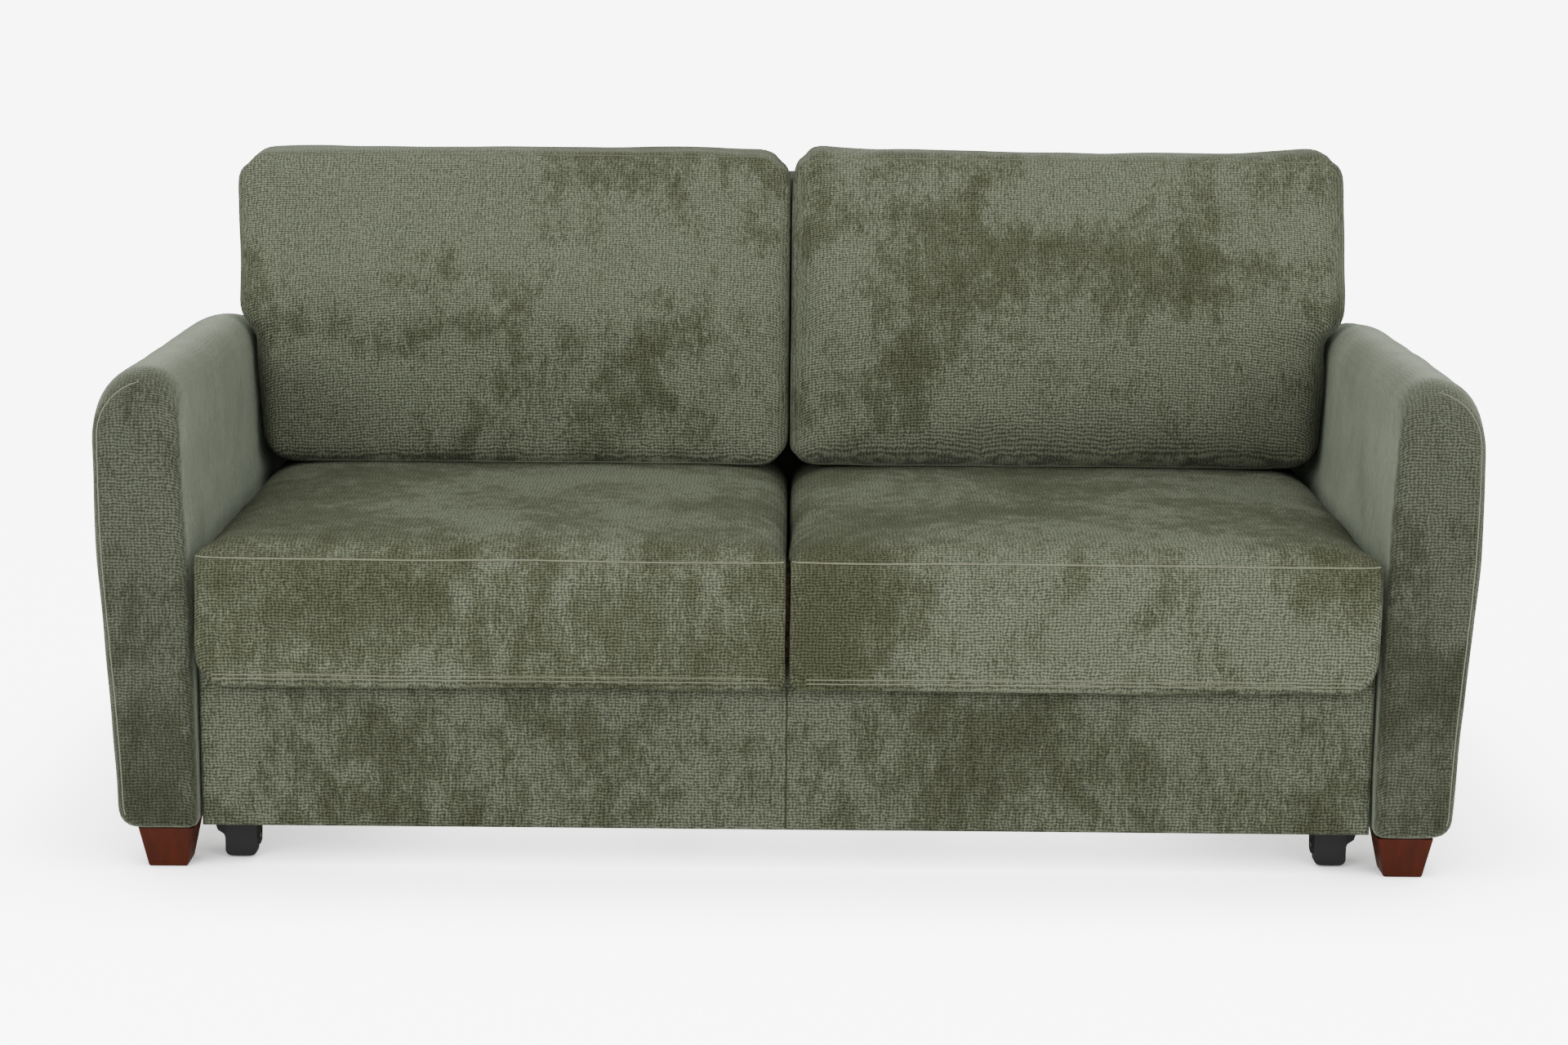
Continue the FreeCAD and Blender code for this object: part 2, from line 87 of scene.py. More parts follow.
def rear_plane(z):
    """Front face of the leaning leaf mattress behind the cushions, less a small gap."""
    return SEAT_PIVOT.y - LEAF_PAD_OUT - LEAF_GAP + (z - SEAT_PIVOT.z) * LEAF_SLOPE


# ---------------------------------------------------------------- materials
TAU = 2 * math.pi
WEFT_PITCH = 0.0042
WARP_PITCH = 0.0050
PALE_NAP = (0.084, 0.093, 0.063)
BRUSHED_NAP = (0.038, 0.041, 0.022)
SHEEN_TINT = (0.74, 0.84, 0.66, 1)
RIB_RELIEF = 0.0016


def node_material(name):
    """A new material with its principled shader ready to be wired."""
    mat = bpy.data.materials.new(name)
    mat.use_nodes = True
    tree = mat.node_tree
    return mat, tree, tree.nodes["Principled BSDF"]


def math_node(tree, op, a, b=None):
    n = tree.nodes.new("ShaderNodeMath")
    n.operation = op
    for i, v in enumerate((a, b)):
        if v is None:
            continue
        if isinstance(v, (int, float)):
            n.inputs[i].default_value = v
        else:
            tree.links.new(v, n.inputs[i])
    return n.outputs[0]


def noise_node(tree, coords, scale, detail, rough=0.5, distortion=0.0):
    n = tree.nodes.new("ShaderNodeTexNoise")
    n.inputs["Scale"].default_value = scale
    n.inputs["Detail"].default_value = detail
    n.inputs["Roughness"].default_value = rough
    n.inputs["Distortion"].default_value = distortion
    tree.links.new(coords, n.inputs["Vector"])
    return n.outputs["Fac"]


def stretched(tree, coords, scale):
    n = tree.nodes.new("ShaderNodeMapping")
    n.inputs["Scale"].default_value = scale
    tree.links.new(coords, n.inputs["Vector"])
    return n.outputs["Vector"]


def ramp(tree, value, stops):
    n = tree.nodes.new("ShaderNodeValToRGB")
    els = n.color_ramp.elements
    while len(els) < len(stops):
        els.new(0.5)
    for el, (pos, col) in zip(els, stops):
        el.position = pos
        el.color = (*col, 1.0)
    tree.links.new(value, n.inputs["Fac"])
    return n.outputs["Color"]


def grey(v):
    return (v, v, v)


def centred(tree, value, gain):
    """A noise value moved to swing about 0, times gain."""
    return math_node(tree, "MULTIPLY", math_node(tree, "SUBTRACT", value, 0.5), gain)


def thread_wave(tree, along, pitch, wander, waver):
    """Sine ribs of one pitch along an axis, pushed out of line by wander."""
    phase = math_node(tree, "MULTIPLY", along, TAU / pitch)
    pushed = math_node(tree, "MULTIPLY", wander, waver)
    return math_node(tree, "SINE", math_node(tree, "ADD", phase, pushed))


def mix_node(tree, blend="MIX"):
    n = tree.nodes.new("ShaderNodeMix")
    n.data_type = "RGBA"
    n.blend_type = blend
    return n


def chenille(name, shade=1.0, shift=(0.0, 0.0, 0.0), sheen=0.12, brushed=0.0):
    """Soft ribbed chenille: short cross ribs, pale nap and brushed darker patches.

    shift moves the pattern, so that pieces differ, and brushed adds to the darker patches. shade
    scales the whole colour: below 1 it is painted shade, above 1 painted light, for pieces that the
    lamps light differently.
    """
    mat, tree, shader = node_material(name)
    place = tree.nodes.new("ShaderNodeMapping")
    place.inputs["Location"].default_value = shift
    tree.links.new(tree.nodes.new("ShaderNodeTexCoord").outputs["Object"], place.inputs["Vector"])
    coords = place.outputs["Vector"]
    # brushed patches, a few hundred millimetres across, broken up into short streaks
    big = noise_node(tree, coords, 3.4, 4.0, 0.62, 0.4)
    ragged = noise_node(tree, stretched(tree, coords, (34, 34, 16)), 1.0, 4.0, 0.7)
    streaks = noise_node(tree, stretched(tree, coords, (210, 210, 60)), 1.0, 3.0, 0.65)
    mix = math_node(tree, "ADD", big, centred(tree, ragged, 0.5))
    mix = math_node(tree, "ADD", mix, centred(tree, streaks, 0.42))
    patch = ramp(tree, math_node(tree, "ADD", mix, brushed),
                 [(0.47, grey(0.0)), (0.56, grey(0.60)), (0.72, grey(1.0))])
    # woven rib: short threads across, a looser warp along, and uneven yarn
    axes = tree.nodes.new("ShaderNodeSeparateXYZ")
    tree.links.new(coords, axes.inputs[0])
    wander = noise_node(tree, stretched(tree, coords, (60, 60, 60)), 1.0, 2.0, 0.5)
    up = math_node(tree, "ADD", axes.outputs["Y"], axes.outputs["Z"])
    weft = thread_wave(tree, up, WEFT_PITCH, wander, 9.0)
    warp = thread_wave(tree, axes.outputs["X"], WARP_PITCH, wander, 12.0)
    yarn = noise_node(tree, stretched(tree, coords, (330, 330, 330)), 1.0, 2.0, 0.6)
    weave = math_node(tree, "ADD", math_node(tree, "MULTIPLY", weft, 0.16),
                      math_node(tree, "MULTIPLY", warp, 0.11))
    weave = math_node(tree, "ADD", weave, yarn)
    thread = ramp(tree, weave, [(0.30, grey(0.42)), (0.50, grey(0.90)), (0.72, grey(1.52))])
    base = mix_node(tree)
    base.inputs["A"].default_value = (*(c * shade for c in PALE_NAP), 1)
    base.inputs["B"].default_value = (*(c * shade for c in BRUSHED_NAP), 1)
    tree.links.new(patch, base.inputs["Factor"])
    tint = mix_node(tree, "MULTIPLY")
    tint.inputs["Factor"].default_value = 1.0
    tree.links.new(base.outputs["Result"], tint.inputs["A"])
    tree.links.new(thread, tint.inputs["B"])
    tree.links.new(tint.outputs["Result"], shader.inputs["Base Color"])
    shader.inputs["Roughness"].default_value = 0.85
    shader.inputs["Specular IOR Level"].default_value = 0.12
    shader.inputs["Sheen Weight"].default_value = sheen
    shader.inputs["Sheen Roughness"].default_value = 0.45
    shader.inputs["Sheen Tint"].default_value = SHEEN_TINT
    bump = tree.nodes.new("ShaderNodeBump")
    bump.inputs["Strength"].default_value = 0.55
    bump.inputs["Distance"].default_value = RIB_RELIEF
    tree.links.new(weave, bump.inputs["Height"])
    tree.links.new(bump.outputs["Normal"], shader.inputs["Normal"])
    return mat


def plain(name, colour, rough, spec=0.5, metal=0.0, grain=0.0):
    """One colour; grain makes long streaks up to that share darker and lighter."""
    mat, tree, shader = node_material(name)
    shader.inputs["Base Color"].default_value = (*colour, 1)
    shader.inputs["Roughness"].default_value = rough
    shader.inputs["Specular IOR Level"].default_value = spec
    shader.inputs["Metallic"].default_value = metal
    if grain > 0:
        coords = tree.nodes.new("ShaderNodeTexCoord").outputs["Object"]
        lines = noise_node(tree, stretched(tree, coords, (70, 70, 9)), 1.0, 4.0, 0.6, 0.4)
        dark = tuple(c * (1 - grain) for c in colour)
        light = tuple(min(1, c * (1 + grain)) for c in colour)
        tree.links.new(ramp(tree, lines, [(0.3, dark), (0.7, light)]), shader.inputs["Base Color"])
    return mat


FABRIC = chenille("chenille_green")
# Arm covers: the fabric darkened to 0.60, painted shade for the arms' darker fronts.
FABRIC_ARM_PAINTED_SHADE = chenille("chenille_green_arm_painted_shade", 0.60, (2.3, 0.7, 5.1), 0.45, 0.03)
# Seat: the fabric made a little lighter, painted light on the seat's top; brushed adds more of the
# darker patches.
FABRIC_SEAT_PAINTED_LIGHT = chenille("chenille_green_seat_painted_light", 1.02, (4.7, 1.9, 0.6), 0.03, 0.035)
# Fascia: the fabric darkened to 0.84, painted shade for the panel recessed under the seat's lip.
FABRIC_FASCIA_PAINTED_SHADE = chenille("chenille_green_fascia_painted_shade", 0.84, (7.2, 3.1, 2.4))
SEAM = plain("seam_thread", (0.150, 0.150, 0.108), 0.9, 0.1)
SEAM_SOFT = plain("seam_cord", (0.092, 0.096, 0.066), 0.95, 0.05)
SEAM_DARK = plain("seam_shadow", (0.030, 0.031, 0.020), 0.95, 0.05)
LOOKS = {
    "foot_wood": plain("cherry_stained_wood", (0.040, 0.0058, 0.0006), 0.48, 0.15, 0, 0.28),
    "frame_timber": plain("pine_and_board", (0.50, 0.36, 0.21), 0.75, 0.3, 0, 0.15),
    "slat_wood": plain("beech_slats", (0.62, 0.44, 0.26), 0.5, 0.4, 0, 0.12),
    "frame_steel": plain("powder_coated_steel", (0.030, 0.031, 0.033), 0.42, 0.5),
    "bright_steel": plain("zinc_plated_steel", (0.56, 0.56, 0.58), 0.35, 0.5, 1.0),
    "black_plastic": plain("black_plastic_moulding", (0.004, 0.004, 0.0045), 0.4, 0.3),
    "roller_plastic": plain("roller_moulding", (0.018, 0.018, 0.019), 0.45, 0.5),
    "glide_rubber": plain("rubber_glide", (0.015, 0.015, 0.015), 0.85, 0.3),
    "upholstery": FABRIC,
    "ticking": plain("mattress_ticking", (0.060, 0.065, 0.050), 0.92, 0.1, 0, 0.04),
}
LOOKS_BY_NODE = {"fascia_cover": FABRIC_FASCIA_PAINTED_SHADE}
for sub in frame["record"]["subparts"]:
    obj = NODES[sub["node"]]
    look = LOOKS_BY_NODE.get(sub["node"], LOOKS[sub["material_slot"]])
    for s in obj.material_slots:
        s.material = look


# ---------------------------------------------------------------- mesh helpers
def add_mesh(name, verts, faces, mat, smooth=True):
    mesh = bpy.data.meshes.new(name)
    mesh.from_pydata([tuple(v) for v in verts], [], faces)
    bm = bmesh.new()
    bm.from_mesh(mesh)
    bmesh.ops.remove_doubles(bm, verts=bm.verts, dist=1e-5)
    bmesh.ops.recalc_face_normals(bm, faces=bm.faces)
    bm.to_mesh(mesh)
    bm.free()
    obj = bpy.data.objects.new(name, mesh)
    bpy.context.collection.objects.link(obj)
    mesh.materials.append(mat)
    if smooth:
        for p in mesh.polygons:
            p.use_smooth = True
    return obj


def grid_box(n):
    """Unit cube surface in [-1, 1]^3, n = cells along each axis, as verts and quads."""
    verts, faces, index = [], [], {}

    def vid(p):
        key = tuple(round(c, 6) for c in p)
        if key not in index:
            index[key] = len(verts)
            verts.append(p)
        return index[key]

    for axis in range(3):
        u, v = [a for a in range(3) if a != axis]
        for side in (-1.0, 1.0):
            for i in range(n[u]):
                for j in range(n[v]):
                    quad = []
                    for di, dj in ((0, 0), (1, 0), (1, 1), (0, 1)):
                        p = [0.0, 0.0, 0.0]
                        p[axis] = side
                        p[u] = -1 + 2 * (i + di) / n[u]
                        p[v] = -1 + 2 * (j + dj) / n[v]
                        quad.append(vid(tuple(p)))
                    faces.append(quad if side > 0 else quad[::-1])
    return verts, faces


def clamp(v, low, high):
    return max(low, min(high, v))


def ease(t):
    """Smooth step from 0 to 1."""
    t = max(0.0, min(1.0, t))
    return t * t * (3 - 2 * t)


def rounding(d, radius):
    """How far a rounded corner falls away, as a share of its radius, d in from its end."""
    k = max(0.0, 1 - d / radius)
    return 1 - math.sqrt(max(0.0, 1 - k * k))


def tube(name, points, radius, mat):
    """A thin round cord mesh along the points."""
    curve = bpy.data.curves.new(name, "CURVE")
    curve.dimensions = "3D"
    curve.bevel_depth = radius
    curve.bevel_resolution = 2
    spline = curve.splines.new("POLY")
    spline.points.add(len(points) - 1)
    for p, co in zip(spline.points, points):
        p.co = (*co, 1)
    curve.materials.append(mat)
    obj = bpy.data.objects.new(name, curve)
    bpy.context.collection.objects.link(obj)
    return obj


# ---------------------------------------------------------------- cushions
def puffed(name, low, high, cells, corner, edge, crown, mat):
    """Box cushion with rounded corners and crowned faces.

    corner is the plan radius of the vertical edges, edge the radius where faces meet, and
    crown the rise of the middle of each face: (x faces, y faces, z faces).
    """
    verts, faces = grid_box(cells)
    half = (Vector(high) - Vector(low)) / 2
    mid = (Vector(high) + Vector(low)) / 2
    out = []
    for p in verts:
        q = Vector([p[i] * half[i] for i in range(3)])
        # round the outline seen along Y, then every edge
        inner = [max(half[0] - corner, 0), max(half[2] - corner, 0)]
        cx, cz = clamp(q.x, -inner[0], inner[0]), clamp(q.z, -inner[1], inner[1])
        dx, dz = q.x - cx, q.z - cz
        d = math.hypot(dx, dz)
        if d > 1e-9:
            reach = max(abs(dx), abs(dz))
            q.x, q.z = cx + dx / d * reach, cz + dz / d * reach
        inner = [max(half[i] - edge, 0) for i in range(3)]
        c = Vector([clamp(q[i], -inner[i], inner[i]) for i in range(3)])
        r = q - c
        reach = max(abs(r.x), abs(r.y), abs(r.z))
        if r.length > 1e-9:
            q = c + r.normalized() * reach
        u = [1 - abs(p[i]) ** 2.4 for i in range(3)]
        for a in range(3):
            b, e = [i for i in range(3) if i != a]
            q[a] += crown[a] * p[a] * u[b] * u[e] if abs(p[a]) > 0.2 else 0
        out.append(mid + q)
    return add_mesh(name, out, faces, mat)


def finer(obj):
    """One level of subdivision, to take the facets off."""
    m = obj.modifiers.new("smooth", "SUBSURF")
    m.levels = m.render_levels = 1
    return obj


def wrinkle(obj, seed, size, depth, low, high):
    """Shallow dents and lumps of stuffing, held inside the cushion's own room."""
    mesh = obj.data
    mesh.update()
    normals = [v.normal.copy() for v in mesh.vertices]
    shift = Vector((seed * 3.1, seed * 1.7, seed * 0.9))
    for v, n in zip(mesh.vertices, normals):
        k = noise.noise(v.co / size + shift) + 0.5 * noise.noise(v.co / (size * 0.45) - shift)
        v.co += n * k * depth
        for i in range(3):
            v.co[i] = clamp(v.co[i], low[i], high[i])
    mesh.update()


def inflate(obj, pressure, most, low, high):
    """Short cloth run that fills the cover; no vertex moves further than most."""
    start = [v.co.copy() for v in obj.data.vertices]
    cloth = obj.modifiers.new("cloth", "CLOTH")
    cs = cloth.settings
    cs.quality = 5
    cs.mass = 0.25
    cs.tension_stiffness = cs.compression_stiffness = 22
    cs.shear_stiffness = 8
    cs.bending_stiffness = 0.35
    cs.use_pressure = True
    cs.uniform_pressure_force = pressure
    cs.shrink_min = -0.035
    cs.effector_weights.gravity = 0.0
    cloth.point_cache.frame_start = 1
    cloth.point_cache.frame_end = 20
    scene = bpy.context.scene
    for f in range(1, 21):
        scene.frame_set(f)
    dg = bpy.context.evaluated_depsgraph_get()
    done = obj.evaluated_get(dg)
    after = [v.co.copy() for v in done.data.vertices]
    obj.modifiers.remove(cloth)
    scene.frame_set(1)
    for v, a, b in zip(obj.data.vertices, start, after):
        move = b - a
        if move.length > most:
            move = move * (most / move.length)
        v.co = a + move
        for i in range(3):
            v.co[i] = clamp(v.co[i], low[i], high[i])
    obj.data.update()


def close_gap(obj, inner, outer):
    """Draws the cushion's inner side back to its neighbour and its outer side to full width."""
    reach = sorted(abs(v.co.x) for v in obj.data.vertices)
    least, most = reach[len(reach) // 25], reach[-1]
    for v in obj.data.vertices:
        t = max(0.0, (abs(v.co.x) - least) / (most - least))
        moved = abs(v.co.x) + (inner - least) * (1 - t) ** 3 + (outer - most) * t ** 8
        v.co.x = math.copysign(max(inner, moved), v.co.x)
    obj.data.update()


def seam_ring(name, half_x, half_z, corner, centre, y_at, radius, mat):
    """Rounded-rectangle seam in XZ, left out where y_at(x, z), the face's Y, is None."""
    pts = []
    for k, (sx, sz) in enumerate(((1, 1), (-1, 1), (-1, -1), (1, -1))):
        for i in range(9):
            a = math.pi / 2 * (k + i / 8)
            x = centre[0] + sx * (half_x - corner) + corner * math.cos(a)
            z = centre[1] + sz * (half_z - corner) + corner * math.sin(a)
            pts.append((x, z))
    dense = []
    for (x0, z0), (x1, z1) in zip(pts, pts[1:] + pts[:1]):
        n = max(1, int(math.hypot(x1 - x0, z1 - z0) / 0.02))
        for i in range(n):
            dense.append((x0 + (x1 - x0) * i / n, z0 + (z1 - z0) * i / n))
    on_face = [(x, y_at(x, z), z) for x, z in dense]
    kept = [p for p in on_face if p[1] is not None]
    gap = max(range(len(kept)), key=lambda i: (Vector(kept[i]) - Vector(kept[i - 1])).length)
    return tube(name, kept[gap:] + kept[:gap], radius, mat)


def panel_seam(side, obj):
    """Seam that joins a back cushion's front panel to its boxing strip."""
    s = 1 if side == "right" else -1
    front = surface_finder(obj)
    co = [v.co for v in obj.data.vertices]
    upper = [abs(c.x) for c in co if c.z > BACK_HIGH.z - 0.15]
    x0, x1 = min(upper) + PANEL_INSET, max(upper) - PANEL_INSET
    z0, z1 = BACK_LOW.z + PANEL_INSET, BACK_HIGH.z - PANEL_INSET

    def on_panel(x, z):
        return front(x, z) if z > ARM_HIGH.z or abs(x) < ARM_LOW.x - 0.06 else None

    return seam_ring("back_cushion_" + side + "_seam", (x1 - x0) / 2, (z1 - z0) / 2,
                     PANEL_CORNER, (s * (x0 + x1) / 2, (z0 + z1) / 2), on_panel, CORD, SEAM_SOFT)


def surface_finder(obj):
    """Function giving the front-most Y of obj at (x, z), or None beside it."""
    dg = bpy.context.evaluated_depsgraph_get()
    tree = BVHTree.FromObject(obj.evaluated_get(dg), dg)

    def front(x, z):
        hit = tree.ray_cast(Vector((x, -3, z)), Vector((0, 1, 0)))[0]
        return hit.y if hit else None

    return front


def back_cushion(side):
    """Loose box cushion: front panel, boxing strip, piped seams, leaning on the leaf behind."""
    s = 1 if side == "right" else -1
    low_x, high_x = BACK_LOW.x, BACK_HIGH.x
    low = Vector((low_x, 0.0, BACK_LOW.z))
    high = Vector((high_x, CUSHION_DEPTH, BACK_HIGH.z))
    body = puffed("back_cushion_" + side + "_soft", low, high, (44, 10, 26),
                  CUSHION_CORNER, CUSHION_EDGE, CUSHION_CROWN, FABRIC)
    for v in body.data.vertices:
        x, y, z = v.co
        t = (z - low.z) / (high.z - low.z)
        # the lower half is squeezed between the arms, the upper half spreads over them
        between = BETWEEN_ARMS + 0.011 * ease((z - 0.45) / 0.20)
        room = between + (high_x - between) * ease((z - ARM_HIGH.z + 0.032) / 0.036)
        x = low_x + (x - low_x) * (room - low_x) / (high_x - low_x)
        thick = 1.0 - CUSHION_TAPER * ease((t - 0.45) / 0.55)
        v.co = (s * x, rear_plane(z) - (high.y - y) * thick, z)
    return body


def seat_profile():
    """YZ outline of the seat cushion, from the lip's rear face round the front and back to it."""
    y0, y1 = SEAT_LOW.y, SEAT_HIGH.y
    lip_low, top, lip_y = SEAT_LOW.z, SEAT_HIGH.z, SEAT_LOW.y + LIP_T
    profile = [(lip_y, SEAT_BASE_Z - 0.002), (lip_y, lip_low + 0.030),
               (lip_y - 0.003, lip_low + 0.010), (lip_y - 0.012, lip_low + 0.001),
               (y0 + 0.012, lip_low + 0.001), (y0 + 0.0035, lip_low + 0.008)]
    # front face, fullest half way up
    for i in range(1, 12):
        t = i / 11
        hollow = 0.0035 * (1 - math.sin(math.pi * min(1.0, t)) ** 0.8)
        profile.append((y0 + hollow, lip_low + 0.008 + (SEAT_SEAM_Z - lip_low - 0.016) * t))
    # crowned top, steep just behind the seam
    steps = 34
    for i in range(1, steps + 1):
        t = i / steps
        turn = 0.028 * (1 - math.exp(-t * 26))
        crown = SEAT_CROWN * math.sin(math.pi * min(t * 0.9, 0.9)) ** 0.55 * 0.55
        z = min(top + 0.003 + 0.004 * t, SEAT_SEAM_Z - 0.004 + turn + crown)
        profile.append((y0 + 0.004 + (y1 - y0 - 0.010) * t, z))
    z_end = profile[-1][1]
    profile += [(y1 - 0.001, z_end - 0.014), (y1 - 0.001, z_end - 0.05),
                (y1 - 0.002, SEAT_BASE_Z + 0.02), (y1 - 0.012, SEAT_BASE_Z)]
    for i in range(1, 10):
        profile.append((y1 - 0.012 + (lip_y - y1 + 0.012) * i / 10, SEAT_BASE_Z))
    return profile


def seat_cushion(side):
    """Seat cushion: crowned top, and a front that hangs over the fascia as a lip."""
    s = 1 if side == "right" else -1
    x0, x1 = SEAT_LOW.x, SEAT_HIGH.x
    y0, y1 = SEAT_LOW.y, SEAT_HIGH.y
    profile = seat_profile()
    m, n = len(profile), 46
    verts, faces = [], []
    for i in range(n + 1):
        # closer rows towards the ends, where the cushion turns over
        a = 0.5 - 0.5 * math.cos(math.pi * i / n)
        x = x0 + (x1 - x0) * a
        d = min(a, 1 - a) * (x1 - x0)
        # radii of the top edge, the lip's lower corner and the front's side edge
        fall_r, corner_r, roll_r = (0.060, 0.016, 0.004) if a < 0.5 else (0.070, 0.045, 0.022)
        for y, z in profile:
            py, pz = y, z
            if z > SEAT_SEAM_Z - 0.003 and y < y1 - 0.0005:
                fall = 0.040 * rounding(d, fall_r) * ease((y - y0) / 0.10 + 0.15)
                pz += 0.011 * math.sin(math.pi * a) ** 0.8 * ease((y - y0) / 0.12) - fall
            if y < y0 + LIP_T + 0.001 and z < SEAT_SEAM_Z + 0.02:
                pz += corner_r * rounding(d, corner_r) * (1 - ease((z - SEAT_LOW.z) / 0.09))
            if y < y0 + 0.02:
                py += 0.55 * roll_r * rounding(d, roll_r)
            verts.append(Vector((s * x, py, pz)))
    for i in range(n):
        for j in range(m):
            j2 = (j + 1) % m
            faces.append([i * m + j, i * m + j2, (i + 1) * m + j2, (i + 1) * m + j])
    faces.append(list(range(m)))
    faces.append([n * m + j for j in reversed(range(m))])
    return add_mesh("seat_cushion_" + side + "_soft", verts, faces, FABRIC_SEAT_PAINTED_LIGHT)


def lines_on_seat(side, obj):
    """Top seam across the front and two rows of stitches above the lip's edge."""
    s = 1 if side == "right" else -1
    front = surface_finder(obj)
    x0, x1 = SEAT_LOW.x + 0.004, SEAT_HIGH.x - 0.004
    out = []
    for name, z, r, inset in (("top_seam", SEAT_SEAM_Z - 0.0005, 0.0011, 0.0),
                              ("lip_stitch_upper", SEAT_LOW.z + 0.021, 0.0007, 0.02),
                              ("lip_stitch_lower", SEAT_LOW.z + 0.015, 0.0007, 0.02)):
        pts = []
        n = 90
        for i in range(n + 1):
            x = x0 + inset + (x1 - x0 - 2 * inset) * i / n
            wave = 0.0012 * noise.noise(Vector((x * 7, z * 40, s)))
            y = front(s * x, z + wave)
            if y is not None:
                pts.append((s * x, y - r * 0.25, z + wave))
        out.append(tube("seat_" + side + "_" + name, pts, r, SEAM))
    return out


# ---------------------------------------------------------------- arms
def arm_top(y):
    """Height of the arm's ridge along its length, rounding down at the front and the rear."""
    y0, y1 = ARM_LOW.y, ARM_HIGH.y
    z = ARM_HIGH.z - ARM_NOSE * rounding(y - y0, ARM_NOSE) - ARM_TAIL * rounding(y1 - y, ARM_TAIL)
    if y > ARM_SLOPE_FROM:
        z -= ARM_DROP * ((y - ARM_SLOPE_FROM) / (y1 - ARM_SLOPE_FROM)) ** 1.5
    return z


def arm_cover(side):
    """Padded arm with a rolled top and softly turned ends."""
    s = 1 if side == "right" else -1
    y0, y1 = ARM_LOW.y, ARM_HIGH.y
    x_in, x_out, z0 = ARM_LOW.x, ARM_HIGH.x, ARM_LOW.z
    close = [ARM_TURN * (1 - math.cos(math.pi / 2 * i / 7)) for i in range(8)]
    n, around = 60, 74
    ys = [y0 + c for c in close]
    ys += [y0 + ARM_TURN + (y1 - y0 - 2 * ARM_TURN) * i / n for i in range(1, n)]
    ys += [y1 - c for c in reversed(close)]
    verts, faces = [], []
    for y in ys:
        inset = ARM_TURN * rounding(min(y - y0, y1 - y), ARM_TURN)
        top = arm_top(max(y, y0 + 0.0005)) - inset * 0.2
        ring = arm_ring(top, x_in + inset, x_out - inset, z0 + inset * 0.6, around)
        for x, z in ring:
            verts.append(Vector((s * x, y, z)))
    rows = len(ys)
    for i in range(rows - 1):
        for j in range(around):
            j2 = (j + 1) % around
            faces.append([i * around + j, i * around + j2,
                          (i + 1) * around + j2, (i + 1) * around + j])
    # each end face is a ladder of quads between its inner and outer side
    for first, flip in ((0, False), ((rows - 1) * around, True)):
        for j in range(around // 2 - 1):
            quad = [first + j, first + j + 1, first + around - 2 - j, first + around - 1 - j]
            faces.append(quad[::-1] if flip else quad)
    return add_mesh("arm_" + side + "_soft", verts, faces, FABRIC_ARM_PAINTED_SHADE)


def arm_ring(top, x_in, x_out, z0, count):
    """Rounded XZ outline of the arm at one place, evenly spaced: inner side, top, outer side."""
    r_in, r_out, r_low = 0.048, 0.072, 0.020
    pts = []

    def arc(cx, cz, r, a0, a1, n):
        for i in range(n + 1):
            a = math.radians(a0 + (a1 - a0) * i / n)
            pts.append((cx + r * math.cos(a), cz + r * math.sin(a)))

    def outer(z):
        return x_out - 0.022 * (1 - ease((z - z0) / 0.46))

    lean_in = 0.012
    pts.append((x_in, z0))
    pts.append((x_in, z0 + 0.30))
    arc(x_in + lean_in + r_in, top - r_in, r_in, 180, 90, 10)
    arc(x_out - r_out, top - r_out, r_out, 90, 0, 12)
    for i in range(1, 12):
        z = (top - r_out) + (z0 + r_low - top + r_out) * i / 12
        pts.append((outer(z), z))
    cx = outer(z0) - r_low
    arc(cx, z0 + r_low, r_low, 0, -90, 6)
    closed = pts + [pts[0]]
    seg = [math.dist(a, b) for a, b in zip(closed, closed[1:])]
    total = sum(seg)
    out, k, acc = [], 0, 0.0
    for i in range(count):
        want = total * i / count
        while acc + seg[k] < want:
            acc += seg[k]
            k += 1
        f = (want - acc) / seg[k] if seg[k] > 0 else 0
        a, b = closed[k], closed[k + 1]
        out.append((a[0] + (b[0] - a[0]) * f, a[1] + (b[1] - a[1]) * f))
    return out


def arm_seam(side, obj):
    """Seam that runs round the front face, just inside its outer edge."""
    s = 1 if side == "right" else -1
    front = surface_finder(obj)
    inset = ARM_SEAM_INSET
    y = ARM_LOW.y
    ring = arm_ring(arm_top(y + 0.02) - inset * 0.2, ARM_LOW.x + inset, ARM_HIGH.x - inset,
                    ARM_LOW.z + inset, 120)
    pts = []
    for x, z in ring:
        at = front(s * x, z)
        if z > 0.075 and x > ARM_LOW.x + 0.06 and at is not None and at < y + 0.06:
            pts.append((s * x, at - 0.0002, z))
    return pts


